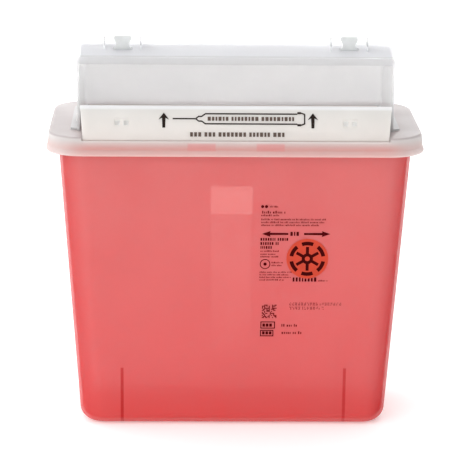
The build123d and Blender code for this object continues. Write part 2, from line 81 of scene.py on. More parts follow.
# roof painted lighter and bluer, as lit from above
ROOF_LIT_TONE = (0.77, 0.785, 0.84)
TAB_TONE = (0.72, 0.735, 0.735)
DECK_SHADED_TONE = (0.46, 0.425, 0.425)  # lid: its top, painted darker as shade, its skirt, and its front step, painted lighter as light
SKIRT_TONE = (0.68, 0.655, 0.64)
STEP_LIT_TONE = (0.92, 0.86, 0.83)
STEP_GLOW = 0.10  # painted glow on the step under the flap's foot, lifting the shade of the gap there
SKIRT_PINK = (0.70, 0.30, 0.27)  # where the red rim and its snap blocks show through
SKIRT_SNAP_PINK = (0.76, 0.27, 0.26)
TRAY_TOP = (0.735, 0.72, 0.69)  # drop tray
# foot painted lighter and pinker: red light from the tub, and lifted shade
TRAY_FOOT_LIT = (0.92, 0.83, 0.775)
# lip painted paler: a painted highlight
TRAY_LIP_HIGHLIGHT = (0.84, 0.84, 0.85)
# pockets painted white and glowing, lifting their shade
TRAY_POCKET_LIGHT = (1.0, 1.0, 0.98)
POCKET_GLOW = 0.05
DISC_ORANGE = (0.57, 0.041, 0.012)  # labels
LABEL_WHITE = (0.80, 0.78, 0.76)
FLAP_INK = (0.022, 0.015, 0.013)  # on the flap, and its thinner small blocks
FLAP_INK_THIN = (0.105, 0.076, 0.064)
TUB_INK = (0.060, 0.002, 0.003)  # on the red tub, and its thinner small blocks
TUB_INK_THIN = (0.12, 0.006, 0.007)
DISC_INK = (0.045, 0.002, 0.002)

# ---------------------------------------------------------------- places that the shades follow
EDGE = 0.5 * MM  # half the softness of an edge between two shades of the tub
WALL_SLOPE = 0.0699  # how far the tub's walls lean out for each metre of height
BASE_HALF_W = 0.1128  # half the tub's width and depth at the floor
BASE_HALF_D = 0.0484
FOOT_FADE = (2 * MM, 48 * MM)  # heights between which the foot's shade fades out
BASE_FADE = (14 * MM, 6 * MM)  # the base's own shade fades out between these, in from its outline
CORNER_SHADE_SIDE_FADE = (16 * MM, 0.0)  # the corners' painted shade grows between these, in from the tub's side
CORNER_SHADE_FACE_FADE = (34 * MM, 8 * MM)  # and in from its front or rear face
LEFT_CORNER_SHADE = 0.75  # share of that painted shade at the left, which more light reaches
CORNER_TURN = 0.06  # the share changes over this far to each side of the middle
CHANNEL_HALF_W = 0.0155  # bracket channel down the rear wall, its side walls, and its deeper foot
CHANNEL_SIDE = 1.6 * MM
CHANNEL_TOP = 0.1585
CHANNEL_FADE = (10 * MM, 50 * MM)  # its glow grows from below its foot's top to above it
SOCKET_TOP = 0.0275
RIB_X = 0.082  # ribs inside the tub
RIB_HALF_W = 1.1 * MM
RIB_TOP = 0.0455
SKIRT_FOOT_RISE = 3.8 * MM  # lid's skirt above the foot of the sealing wall inside it
SNAP_X = 24.6 * MM  # middle of a snap block behind the skirt, and half its width
SNAP_HALF_W = 10.0 * MM
SNAP_DOWN = (5.4 * MM, 0.2 * MM)  # its foot and top, below the tub's rim
STEP_HALF_W = 0.110  # step along the lid's front edge: half its width, its reach back and its depth
STEP_BACK = (2.4 * MM, 14 * MM)
STEP_DOWN = (4.0 * MM, 0.5 * MM)
PINK_CORNER = (32 * MM, 8 * MM)  # the skirt's pink fades between these, in from the lid's ends
FIN_RISE = 0.0072  # guard fins above the roof
ROOF_FADE = (16 * MM, 8 * MM)  # the roof's painted light grows between these, below its crest
RIM_BACK_Y = -0.0425  # rear face of the hood's front rim
LIP_HIGHLIGHT_FADE = (3.5 * MM, 1.5 * MM)  # the lip's painted highlight grows between these, below the flap's top
POCKET_X = 0.0815  # middle of a pocket for a lock tab in the flap, and half its width
POCKET_HALF_W = 5.5 * MM
POCKET_DEEP = 5.0 * MM  # the pocket's walls, back from the flap's face
POCKET_SHALLOW = 0.9 * MM

# ---------------------------------------------------------------- printed marks, millimetres
PRINT_LIFT = 0.03  # ink above its face, and its thickness
PRINT_T = 0.06
LETTER_GAP = 0.30  # gaps and widths in a line of blocks, as parts of its height
WORD_GAP = 0.45
NARROW_LETTERS = (0.28, 0.60)
WIDE_LETTERS = (0.42, 0.80)
SEED = 7


# ---------------------------------------------------------------- camera and stage
def make_camera():
    """Camera at the object's front, a little above it."""
    forward = Vector((
        -sin(CAMERA_YAW) * cos(CAMERA_PITCH),
        cos(CAMERA_YAW) * cos(CAMERA_PITCH),
        -sin(CAMERA_PITCH),
    ))
    turn = forward.to_track_quat("-Z", "Y").to_matrix().to_4x4()
    data = bpy.data.cameras.new("camera")
    data.lens = LENS_MM
    data.sensor_width = SENSOR_MM
    data.clip_end = 100.0
    camera = bpy.data.objects.new("camera", data)
    bpy.context.scene.collection.objects.link(camera)
    camera.matrix_world = Matrix.Translation(CAMERA_AT) @ turn @ Matrix.Rotation(CAMERA_ROLL, 4, "Z")
    bpy.context.scene.camera = camera


def make_world():
    """Plain white surroundings, a little brighter to the left and behind."""
    world = bpy.data.worlds.new("studio")
    bpy.context.scene.world = world
    world.use_nodes = True
    tree = world.node_tree
    direction = tree.nodes.new("ShaderNodeTexCoord")
    split = tree.nodes.new("ShaderNodeSeparateXYZ")
    tree.links.new(direction.outputs["Generated"], split.inputs[0])
    sideways = compute(tree, "MULTIPLY_ADD", split.outputs["X"], -WORLD_TO_LEFT, WORLD_LEVEL)
    level = compute(tree, "MULTIPLY_ADD", split.outputs["Y"], WORLD_TO_BACK, sideways)
    background = tree.nodes["Background"]
    background.inputs["Color"].default_value = (1.0, 1.0, 1.0, 1.0)
    tree.links.new(level, background.inputs["Strength"])
    bpy.context.scene.view_settings.view_transform = "Standard"


def make_lights():
    """Soft square lights, all aimed at the object."""
    for name, place, size, watts in LIGHTS:
        data = bpy.data.lights.new(name, "AREA")
        data.size = size
        data.energy = watts
        light = bpy.data.objects.new(name, data)
        bpy.context.scene.collection.objects.link(light)
        light.location = place
        aim = Vector(LIGHT_AIM) - Vector(place)
        light.rotation_euler = aim.to_track_quat("-Z", "Y").to_euler()


def make_floor():
    """Plain pale floor, lit a little from within."""
    half = FLOOR_SIZE / 2
    mesh = bpy.data.meshes.new("floor")
    mesh.from_pydata(
        [(-half, -half, 0), (half, -half, 0), (half, half, 0), (-half, half, 0)], [], [(0, 1, 2, 3)]
    )
    floor = bpy.data.objects.new("floor", mesh)
    bpy.context.scene.collection.objects.link(floor)
    floor.location.z = -0.1 * MM
    material, _, shader = new_material("pale_floor")
    shader.inputs["Base Color"].default_value = (*FLOOR_COLOUR, 1.0)
    shader.inputs["Roughness"].default_value = 0.9
    shader.inputs["Specular IOR Level"].default_value = 0.0
    shader.inputs["Emission Color"].default_value = (1.0, 1.0, 1.0, 1.0)
    shader.inputs["Emission Strength"].default_value = FLOOR_GLOW
    mesh.materials.append(material)


# ---------------------------------------------------------------- shader helpers
def new_material(name):
    """A new material, its node tree and its shader."""
    material = bpy.data.materials.new(name)
    material.use_nodes = True
    return material, material.node_tree, material.node_tree.nodes["Principled BSDF"]


def surface_point(tree):
    """Point of the surface in the row frame at rest, in metres."""
    return tree.nodes.new("ShaderNodeTexCoord").outputs["Object"]


def axes(tree):
    """The same point as three number sockets."""
    split = tree.nodes.new("ShaderNodeSeparateXYZ")
    tree.links.new(surface_point(tree), split.inputs[0])
    return split.outputs["X"], split.outputs["Y"], split.outputs["Z"]


def noise(tree, grain, detail=3.0, rough=0.55, stretch=(1.0, 1.0, 1.0)):
    """Soft noise whose blotches are about grain metres across."""
    mapping = tree.nodes.new("ShaderNodeMapping")
    mapping.inputs["Scale"].default_value = stretch
    tree.links.new(surface_point(tree), mapping.inputs["Vector"])
    node = tree.nodes.new("ShaderNodeTexNoise")
    node.inputs["Scale"].default_value = 1.0 / grain
    node.inputs["Detail"].default_value = detail
    node.inputs["Roughness"].default_value = rough
    tree.links.new(mapping.outputs["Vector"], node.inputs["Vector"])
    return node.outputs["Fac"]


def ramp(tree, value, low, high, out_low=0.0, out_high=1.0, smooth=True):
    """Value mapped from low..high to out_low..out_high, held at the ends."""
    node = tree.nodes.new("ShaderNodeMapRange")
    node.interpolation_type = "SMOOTHSTEP" if smooth else "LINEAR"
    node.clamp = True
    node.inputs["From Min"].default_value = low
    node.inputs["From Max"].default_value = high
    node.inputs["To Min"].default_value = out_low
    node.inputs["To Max"].default_value = out_high
    tree.links.new(value, node.inputs["Value"])
    return node.outputs["Result"]


def compute(tree, operation, *values):
    """Result of a maths operation on numbers or sockets."""
    node = tree.nodes.new("ShaderNodeMath")
    node.operation = operation
    for socket, value in zip(node.inputs, values):
        if isinstance(value, (int, float)):
            socket.default_value = value
        else:
            tree.links.new(value, socket)
    return node.outputs["Value"]


def band(tree, value, low, high, soft):
    """One between low and high, fading to nothing over soft on each side."""
    rise = ramp(tree, value, low - soft, low + soft)
    fall = ramp(tree, value, high - soft, high + soft, 1.0, 0.0)
    return compute(tree, "MULTIPLY", rise, fall)


def blend_colours(tree, factor, first, second):
    """Mix of two colours, each a tuple or another colour socket."""
    node = tree.nodes.new("ShaderNodeMix")
    node.data_type = "RGBA"
    tree.links.new(factor, node.inputs["Factor"])
    for socket, value in ((node.inputs[6], first), (node.inputs[7], second)):
        if isinstance(value, tuple):
            socket.default_value = (*value, 1.0)
        else:
            tree.links.new(value, socket)
    return node.outputs[2]


def scaled(colour, by):
    """A colour made darker or lighter."""
    return tuple(channel * by for channel in colour)


def moulded_finish(tree, shader, rough, grain, bump):
    """Fine moulded grain, faint flow ripples and light scuffs, for roughness and bump."""
    cloudy = noise(tree, 0.035, 4.0)
    scuffs = noise(tree, 0.009, 6.0, 0.7, stretch=(0.35, 1.0, 1.6))
    scuff_mask = ramp(tree, scuffs, 0.60, 0.72, 0.0, 0.10)
    base = ramp(tree, cloudy, 0.30, 0.70, rough - 0.05, rough + 0.05)
    tree.links.new(compute(tree, "ADD", base, scuff_mask), shader.inputs["Roughness"])
    fine = noise(tree, grain, 2.0)
    ripples = noise(tree, 0.022, 2.0, stretch=(0.5, 1.0, 2.2))
    height = compute(tree, "ADD", compute(tree, "MULTIPLY", fine, 0.10), ripples)
    node = tree.nodes.new("ShaderNodeBump")
    node.inputs["Strength"].default_value = bump
    node.inputs["Distance"].default_value = 0.0004
    tree.links.new(height, node.inputs["Height"])
    tree.links.new(node.outputs["Normal"], shader.inputs["Normal"])


def translucent(shader, alpha, scatter, reach, tint=(1.0, 1.0, 1.0), gloss=0.35):
    """Every face is solid by its alpha, the rest is see-through, and light scatters inside the wall."""
    shader.inputs["Alpha"].default_value = alpha
    shader.inputs["Subsurface Weight"].default_value = scatter
    shader.inputs["Subsurface Radius"].default_value = tint
    shader.inputs["Subsurface Scale"].default_value = reach
    shader.inputs["IOR"].default_value = 1.49
    shader.inputs["Specular IOR Level"].default_value = gloss


# ---------------------------------------------------------------- plastics
def red_polypropylene():
    """Tub: deep red at the foot, paler up the wall, palest where the white label backs the rear wall, where
    a glow is painted on.
    """
    material, tree, shader = new_material("red_polypropylene")
    x, y, z = axes(tree)
    low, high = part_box("tub")
    up_wall = ramp(tree, z, low.z + 0.03, high.z)
    colour = blend_colours(tree, up_wall, RED_MID, RED_TOP)
    foot = ramp(tree, z, low.z + FOOT_FADE[0], low.z + FOOT_FADE[1], 1.0, 0.0)
    colour = blend_colours(tree, foot, colour, RED_FOOT)
    out_x = compute(tree, "ABSOLUTE", x)
    out_y = compute(tree, "ABSOLUTE", y)
    inside = compute(
        tree, "MULTIPLY",
        ramp(tree, out_x, BASE_HALF_W - BASE_FADE[0], BASE_HALF_W - BASE_FADE[1], 1.0, 0.0),
        ramp(tree, out_y, BASE_HALF_D - BASE_FADE[0], BASE_HALF_D - BASE_FADE[1], 1.0, 0.0),
    )
    colour = blend_colours(tree, inside, colour, RED_FLOOR)
    # Rear bracket channel: darker at its side walls and its deep foot, palest behind the label.
    rear = ramp(tree, y, 0.0, 0.01)
    wall = compute(tree, "MULTIPLY", rear, ramp(tree, z, CHANNEL_TOP - EDGE, CHANNEL_TOP + EDGE, 1.0, 0.0))
    middle = ramp(tree, out_x, CHANNEL_HALF_W - EDGE, CHANNEL_HALF_W + EDGE, 1.0, 0.0)
    channel = compute(tree, "MULTIPLY", wall, middle)
    colour = blend_colours(tree, compute(tree, "MULTIPLY", channel, 0.22), colour, RED_LABEL_BACKED)
    foot_share = ramp(tree, z, SOCKET_TOP - EDGE, SOCKET_TOP + EDGE, 0.75, 0.0)
    colour = blend_colours(tree, compute(tree, "MULTIPLY", channel, foot_share), colour, RED_DEEP)
    side = band(tree, out_x, CHANNEL_HALF_W, CHANNEL_HALF_W + CHANNEL_SIDE, EDGE)
    colour = blend_colours(tree, compute(tree, "MULTIPLY", wall, side), colour, RED_DEEP)
    label_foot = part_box("rear_label")[0].z
    window = compute(
        tree, "MULTIPLY", rear,
        compute(
            tree, "MULTIPLY",
            ramp(tree, out_x, CHANNEL_HALF_W + EDGE, CHANNEL_HALF_W + 2 * EDGE, 1.0, 0.0),
            band(tree, z, label_foot + 2 * EDGE, CHANNEL_TOP - 0.4 * MM, EDGE),
        ),
    )
    colour = blend_colours(tree, window, colour, RED_LABEL_BACKED)
    # Painted glow: the rear wall lights up behind the label, and faintly down the bracket channel, as if lit
    # from behind.
    shader.inputs["Emission Color"].default_value = (*WINDOW_GLOW_COLOUR, 1.0)
    above_foot = ramp(tree, z, SOCKET_TOP - CHANNEL_FADE[0], SOCKET_TOP + CHANNEL_FADE[1], 0.0, CHANNEL_GLOW)
    glow = compute(tree, "MULTIPLY", channel, above_foot)
    glow = compute(tree, "MULTIPLY_ADD", window, WINDOW_GLOW - CHANNEL_GLOW, glow)
    tree.links.new(glow, shader.inputs["Emission Strength"])
    # Deeper where a look passes through more plastic: the ribs inside. The corners are painted deeper as
    # shade, for the longer look through the curved wall and the less lit right side, and less so at the
    # left.
    to_side = compute(tree, "MULTIPLY_ADD", z, -WALL_SLOPE, out_x)
    to_face = compute(tree, "MULTIPLY_ADD", z, -WALL_SLOPE, out_y)
    corner = compute(
        tree, "MULTIPLY",
        ramp(tree, to_side, BASE_HALF_W - CORNER_SHADE_SIDE_FADE[0], BASE_HALF_W - CORNER_SHADE_SIDE_FADE[1]),
        ramp(tree, to_face, BASE_HALF_D - CORNER_SHADE_FACE_FADE[0], BASE_HALF_D - CORNER_SHADE_FACE_FADE[1]),
    )
    corner = compute(tree, "MULTIPLY", corner, ramp(tree, x, -CORNER_TURN, CORNER_TURN, LEFT_CORNER_SHADE, 1.0))
    colour = blend_colours(tree, corner, colour, RED_DEEP)
    rib = compute(
        tree, "MULTIPLY",
        band(tree, out_x, RIB_X - RIB_HALF_W, RIB_X + RIB_HALF_W, 0.3 * MM),
        band(tree, z, 0.0, RIB_TOP, 0.6 * MM),
    )
    colour = blend_colours(tree, compute(tree, "MULTIPLY", rib, 0.9), colour, RED_RIB)
    cloudy = ramp(tree, noise(tree, 0.05, 5.0), 0.35, 0.75, 0.0, 0.30)
    colour = blend_colours(tree, cloudy, colour, scaled(RED_MID, 0.90))
    tree.links.new(colour, shader.inputs["Base Color"])
    moulded_finish(tree, shader, rough=0.48, grain=0.0011, bump=0.14)
    translucent(shader, alpha=0.60, scatter=0.5, reach=0.004, tint=(1.0, 0.5, 0.5), gloss=0.07)
    return material


def natural_lid():
    """Lid deck: milky, with the red rim glowing through the skirt and most at the snap blocks."""
    material, tree, shader = new_material("natural_lid")
    x, y, z = axes(tree)
    low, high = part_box("lid_deck")
    rim_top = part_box("tub")[1].z
    cloudy = ramp(tree, noise(tree, 0.04, 4.0), 0.3, 0.7)
    skirt = blend_colours(tree, cloudy, SKIRT_TONE, scaled(SKIRT_TONE, 0.94))
    # Painted shade: the deck's top darker and pinker than the rest of the lid, for the dim red tub below it
    # and against the light it catches from above.
    deck_top = ramp(tree, z, high.z - 1.6 * MM, high.z - 0.2 * MM)
    deck = blend_colours(tree, deck_top, skirt, DECK_SHADED_TONE)
    # Painted light on the front step under the flap's foot: lighter and glowing, to lift the shade of the
    # gap there.
    step_light = compute(
        tree, "MULTIPLY",
        band(tree, y, low.y + STEP_BACK[0], low.y + STEP_BACK[1], 0.4 * MM),
        band(tree, z, high.z - STEP_DOWN[0], high.z - STEP_DOWN[1], 0.3 * MM),
    )
    from_middle = compute(tree, "ABSOLUTE", x)
    step_width = ramp(tree, from_middle, STEP_HALF_W - 1 * MM, STEP_HALF_W, 1.0, 0.0)
    step_light = compute(tree, "MULTIPLY", step_light, step_width)
    deck = blend_colours(tree, step_light, deck, STEP_LIT_TONE)
    shader.inputs["Emission Color"].default_value = (*STEP_LIT_TONE, 1.0)
    tree.links.new(compute(tree, "MULTIPLY", step_light, STEP_GLOW), shader.inputs["Emission Strength"])
    skirt_foot = low.z + SKIRT_FOOT_RISE
    glow = ramp(tree, z, skirt_foot + 1.5 * MM, high.z - 1.5 * MM, 0.76, 0.08)
    edge = ramp(tree, z, skirt_foot, skirt_foot + 1.8 * MM, 0.72, 1.0)
    glow = compute(tree, "MULTIPLY", glow, edge)
    corner = ramp(tree, from_middle, high.x - PINK_CORNER[0], high.x - PINK_CORNER[1], 1.0, 0.45)
    glow = compute(tree, "MULTIPLY", glow, corner)
    colour = blend_colours(tree, glow, deck, SKIRT_PINK)
    snap = compute(
        tree, "MULTIPLY",
        band(tree, from_middle, SNAP_X - SNAP_HALF_W, SNAP_X + SNAP_HALF_W, 0.8 * MM),
        band(tree, z, rim_top - SNAP_DOWN[0], rim_top - SNAP_DOWN[1], 0.8 * MM),
    )
    front_or_back = ramp(tree, compute(tree, "ABSOLUTE", y), high.y - 6 * MM, high.y - 4 * MM)
    snap = compute(tree, "MULTIPLY", compute(tree, "MULTIPLY", snap, front_or_back), 0.5)
    colour = blend_colours(tree, snap, colour, SKIRT_SNAP_PINK)
    tree.links.new(colour, shader.inputs["Base Color"])
    moulded_finish(tree, shader, rough=0.42, grain=0.0012, bump=0.14)
    translucent(shader, alpha=0.86, scatter=0.7, reach=0.006, gloss=0.07)
    return material


def natural_hood():
    """Hood: frosted, faintly cool polypropylene, with painted light making the roof lighter and bluish,
    painted shade greying its front rim, and greyer fins.
    """
    material, tree, shader = new_material("natural_hood")
    roof_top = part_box("hood")[1].z - FIN_RISE
    cloudy = ramp(tree, noise(tree, 0.045, 4.0), 0.3, 0.7)
    colour = blend_colours(tree, cloudy, NATURAL, NATURAL_COOL)
    _, y, z = axes(tree)
    # Painted light: the roof lighter and cooler, as it faces the light from above.
    roof_light = ramp(tree, z, roof_top - ROOF_FADE[0], roof_top - ROOF_FADE[1], 0.0, 0.7)
    colour = blend_colours(tree, roof_light, colour, ROOF_LIT_TONE)
    # Painted shade: the front rim greyer, as it faces away from the light above.
    rim_shade = ramp(tree, y, RIM_BACK_Y - 1.0 * MM, RIM_BACK_Y, 1.0, 0.0)
    colour = blend_colours(tree, rim_shade, colour, scaled(NATURAL_COOL, 0.90))
    fin = ramp(tree, z, roof_top, roof_top + 1.0 * MM)
    colour = blend_colours(tree, fin, colour, scaled(TAB_TONE, 0.6))
    tree.links.new(colour, shader.inputs["Base Color"])
    moulded_finish(tree, shader, rough=0.45, grain=0.0012, bump=0.08)
    translucent(shader, alpha=0.62, scatter=0.8, reach=0.008)
    return material


def natural_tab():
    """Lock tabs: the same plastic as the hood, thicker and so less clear."""
    material, tree, shader = new_material("natural_tab")
    cloudy = ramp(tree, noise(tree, 0.012, 4.0), 0.3, 0.7)
    tree.links.new(blend_colours(tree, cloudy, TAB_TONE, scaled(TAB_TONE, 0.9)), shader.inputs["Base Color"])
    moulded_finish(tree, shader, rough=0.45, grain=0.0010, bump=0.08)
    translucent(shader, alpha=0.88, scatter=0.4, reach=0.002)
    return material


def white_tray():
    """Drop tray: warm white, painted lighter and pinker towards its foot for red light from the tub and to
    lift its shade, with a painted highlight along its lip.
    """
    material, tree, shader = new_material("white_tray")
    low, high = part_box("drop_tray")
    x, y, z = axes(tree)
    # Painted light: the foot lighter and pinker, for red light from the tub and to lift its shade, and a
    # painted highlight along the lip.
    height = ramp(tree, z, low.z, high.z - 2.5 * MM, smooth=False)
    colour = blend_colours(tree, height, TRAY_FOOT_LIT, TRAY_TOP)
    cloudy = ramp(tree, noise(tree, 0.05, 4.0), 0.3, 0.7, 0.0, 0.35)
    colour = blend_colours(tree, cloudy, colour, scaled(TRAY_TOP, 0.93))
    lip_highlight = ramp(tree, z, high.z - LIP_HIGHLIGHT_FADE[0], high.z - LIP_HIGHLIGHT_FADE[1])
    colour = blend_colours(tree, lip_highlight, colour, TRAY_LIP_HIGHLIGHT)
    # Painted light in the blind pockets behind the flap's face: white with a faint glow, lifting the shade
    # inside them.
    flap = FlatFace("drop_tray")
    forward = compute(
        tree, "ADD",
        compute(tree, "MULTIPLY", y, flap.out.y), compute(tree, "MULTIPLY", z, flap.out.z),
    )
    level = flap.foot.dot(flap.out)
    pocket_light = compute(
        tree, "MULTIPLY",
        band(tree, compute(tree, "ABSOLUTE", x), POCKET_X - POCKET_HALF_W, POCKET_X + POCKET_HALF_W, EDGE),
        band(tree, forward, level - POCKET_DEEP, level - POCKET_SHALLOW, 0.3 * MM),
    )
    colour = blend_colours(tree, pocket_light, colour, TRAY_POCKET_LIGHT)
    shader.inputs["Emission Color"].default_value = (*TRAY_POCKET_LIGHT, 1.0)
    tree.links.new(compute(tree, "MULTIPLY", pocket_light, POCKET_GLOW), shader.inputs["Emission Strength"])
    tree.links.new(colour, shader.inputs["Base Color"])
    moulded_finish(tree, shader, rough=0.40, grain=0.0012, bump=0.12)
    translucent(shader, alpha=0.86, scatter=0.7, reach=0.006)
    return material


# ---------------------------------------------------------------- labels and ink
def film_label(name, tone, alpha=1.0):
    """Printed film: smooth, with faint waviness and slightly uneven ink."""
    material, tree, shader = new_material(name)
    uneven = ramp(tree, noise(tree, 0.006, 5.0), 0.35, 0.75)
    tree.links.new(blend_colours(tree, uneven, tone, scaled(tone, 0.90)), shader.inputs["Base Color"])
    gloss = ramp(tree, noise(tree, 0.012, 3.0), 0.3, 0.7, 0.34, 0.46)
    tree.links.new(gloss, shader.inputs["Roughness"])
    shader.inputs["Alpha"].default_value = alpha
    shader.inputs["Specular IOR Level"].default_value = 0.3
    node = tree.nodes.new("ShaderNodeBump")
    node.inputs["Strength"].default_value = 0.10
    node.inputs["Distance"].default_value = 0.0003
    tree.links.new(noise(tree, 0.008, 2.0), node.inputs["Height"])
    tree.links.new(node.outputs["Normal"], shader.inputs["Normal"])
    return material


def printing_ink(name, tone):
    """Screen-printed ink, thinner in places."""
    material, tree, shader = new_material(name)
    thin = ramp(tree, noise(tree, 0.0012, 4.0, 0.7), 0.45, 0.75, 0.0, 0.55)
    worn = scaled(tone, 2.0)
    tree.links.new(blend_colours(tree, thin, tone, worn), shader.inputs["Base Color"])
    gloss = ramp(tree, noise(tree, 0.003, 3.0), 0.3, 0.7, 0.42, 0.58)
    tree.links.new(gloss, shader.inputs["Roughness"])
    shader.inputs["Specular IOR Level"].default_value = 0.02
    return material


# ---------------------------------------------------------------- printed marks
class FlatFace:
    """The largest flat face at the front of a CAD node: where its foot is, and which way up and out are."""

    def __init__(self, node):
        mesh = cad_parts[node].data
        patches = {}
        for polygon in mesh.polygons:
            if polygon.normal.y > -0.7:
                continue
            key = tuple(round(part, 2) for part in polygon.normal)
            patches.setdefault(key, []).append(polygon)
        areas = {key: sum(face.area for face in patch) for key, patch in patches.items()}
        large = [key for key in patches if areas[key] > 0.5 * max(areas.values())]
        faces = patches[max(large, key=lambda key: patches[key][0].center.dot(patches[key][0].normal))]
        self.out = sum((face.normal * face.area for face in faces), Vector()).normalized()
        self.up = Vector((0, self.out.z, -self.out.y))
        level = max(face.center.dot(self.out) for face in faces)
        corners = [mesh.vertices[i].co for face in faces for i in face.vertices]
        foot = min(corners, key=lambda corner: corner.z)
        self.foot = Vector((0, foot.y, foot.z))
        self.foot += self.out * (level - self.foot.dot(self.out))

    def point(self, across, up, lift):
        """A point of the face, from millimetres across and up it, and above it."""
        return self.foot + (Vector((across, 0, 0)) + self.up * up + self.out * lift) * MM


class Print:
    """Thin raised shapes of ink on a flat face, joined into one piece."""

    def __init__(self, face, up_shift=0.0):
        self.face = face
        self.up_shift = up_shift
        self.mesh = bmesh.new()

    def shape(self, points):
        """A convex or simple outline, given anticlockwise as (across, up)."""
        layers = []
        for lift in (PRINT_LIFT, PRINT_LIFT + PRINT_T):
            layers.append([
                self.mesh.verts.new(self.face.point(across, up + self.up_shift, lift))
                for across, up in points
            ])
        back, front = layers
        self.mesh.faces.new(front)
        self.mesh.faces.new(back[::-1])
        for i in range(len(points)):
            j = (i + 1) % len(points)
            self.mesh.faces.new((back[i], back[j], front[j], front[i]))

    def bar(self, left, foot, right, top):
        """A filled box."""
        self.shape([(left, foot), (right, foot), (right, top), (left, top)])

    def line(self, start, end, width):
        """A straight stroke."""
        run = hypot(end[0] - start[0], end[1] - start[1])
        side = ((end[1] - start[1]) / run * width / 2, -(end[0] - start[0]) / run * width / 2)
        self.shape([
            (start[0] + side[0], start[1] + side[1]),
            (end[0] + side[0], end[1] + side[1]),
            (end[0] - side[0], end[1] - side[1]),
            (start[0] - side[0], start[1] - side[1]),
        ])

    def outline(self, left, foot, right, top, width):
        """An outlined box."""
        self.bar(left, foot, right, foot + width)
        self.bar(left, top - width, right, top)
        self.bar(left, foot + width, left + width, top - width)
        self.bar(right - width, foot + width, right, top - width)

    def ring(self, across, up, outer, inner, start=0.0, sweep=2 * pi, steps=48):
        """A ring, or a stretch of one, as short blocks that meet edge to edge."""
        for i in range(steps):
            a, b = (start + sweep * k / steps for k in (i, i + 1))
            self.shape([
                (across + radius * cos(angle), up + radius * sin(angle))
                for radius, angle in ((inner, a), (outer, a), (outer, b), (inner, b))
            ])

    def dot(self, across, up, radius, sides=24):
        """A filled circle, or a small polygon that reads as one."""
        self.shape([
            (across + radius * cos(2 * pi * i / sides), up + radius * sin(2 * pi * i / sides))
            for i in range(sides)
        ])

    def arrow(self, tail, tip, shaft, head, sweep=0.62):
        """A plain arrow. Shaft is its width, head its point's width and length, sweep its solid share."""
        run = hypot(tip[0] - tail[0], tip[1] - tail[1])
        along = ((tip[0] - tail[0]) / run, (tip[1] - tail[1]) / run)
        across = (along[1], -along[0])

        def at(forward, right):
            return (
                tail[0] + along[0] * forward + across[0] * right,
                tail[1] + along[1] * forward + across[1] * right,
            )

        notch = run - head[1] * sweep
        tail_half = shaft * 0.42
        self.shape([at(0, -tail_half), at(notch, -shaft / 2), at(notch, shaft / 2), at(0, tail_half)])
        for side in (1, -1):
            half = [at(run, 0), at(notch, 0), at(run - head[1], side * head[0] / 2)]
            self.shape(half if side < 0 else half[::-1])

    def words(self, left, right, foot, height, draw, letters=(2, 8), widths=NARROW_LETTERS, uneven=False):
        """Plain blocks that stand for a line of words. They spell nothing."""
        across = left
        while across < right - 0.5 * height:
            for _ in range(draw.randint(*letters)):
                wide = height * draw.uniform(*widths)
                if across + wide > right:
                    return
                tall = height * draw.choice((0.72, 0.72, 1.0)) if uneven else height
                self.bar(across, foot, across + wide, foot + tall)
                across += wide + LETTER_GAP * height
            across += WORD_GAP * height

    def finish(self, name, material, body):
        """The shapes as one piece that rides on a body."""
        mesh = bpy.data.meshes.new(name)
        bmesh.ops.recalc_face_normals(self.mesh, faces=self.mesh.faces)
        self.mesh.to_mesh(mesh)
        self.mesh.free()
        mesh.materials.append(material)
        piece = bpy.data.objects.new(name, mesh)
        bpy.context.scene.collection.objects.link(piece)
        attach(piece, body)


def print_flap(ink, thin_ink):
    """Lift arrows, a side-on syringe outline and two lines of blocks on the flap."""
    face = FlatFace("drop_tray")
    draw = random.Random(SEED)

    arrows = Print(face)
    for across in (-51.6, 54.7):
        arrows.arrow((across, 9.2), (across, 20.0), shaft=2.5, head=(7.6, 5.0))
    arrows.finish("print_flap_arrows", ink, "tray")

    syringe = Print(face)
    middle, half, neck_half = 15.7, 3.6, 1.7
    needle, neck, barrel, flange, plunger = -45.3, -28.8, -22.0, 43.6, 48.8
    flange_wide, flange_tall = 2.6, 1.5
    stroke = 0.95
    syringe.line((needle, middle), (neck, middle), stroke)
    for side in (-1, 1):
        edge = middle + side * half
        shoulder = middle + side * neck_half
        flange_edge = edge + side * flange_tall
        syringe.line((neck, middle), (neck + 2.0, shoulder), stroke)
        syringe.line((neck + 1.8, shoulder), (barrel - 2.4, shoulder), stroke)
        syringe.line((barrel - 2.6, shoulder), (barrel, edge), stroke)
        syringe.line((barrel - 0.2, edge), (flange, edge), stroke)
        syringe.bar(flange, min(edge, flange_edge), flange + flange_wide, max(edge, flange_edge))
        syringe.line((flange + flange_wide, middle + side * 4.4), (plunger, middle + side * 3.4), stroke)
    syringe.bar(plunger - stroke / 2, middle - half, plunger + stroke / 2, middle + half)
    syringe.finish("print_flap_syringe", ink, "tray")

    words = Print(face)
    words.words(-20.4, 42.6, 14.3, 2.9, draw, letters=(4, 10), widths=WIDE_LETTERS)
    words.finish("print_flap_words", thin_ink, "tray")

    heading = Print(face)
    heading.words(-32.8, 35.2, 2.9, 3.1, draw, letters=(3, 8), widths=WIDE_LETTERS)
    heading.finish("print_flap_heading", thin_ink, "tray")


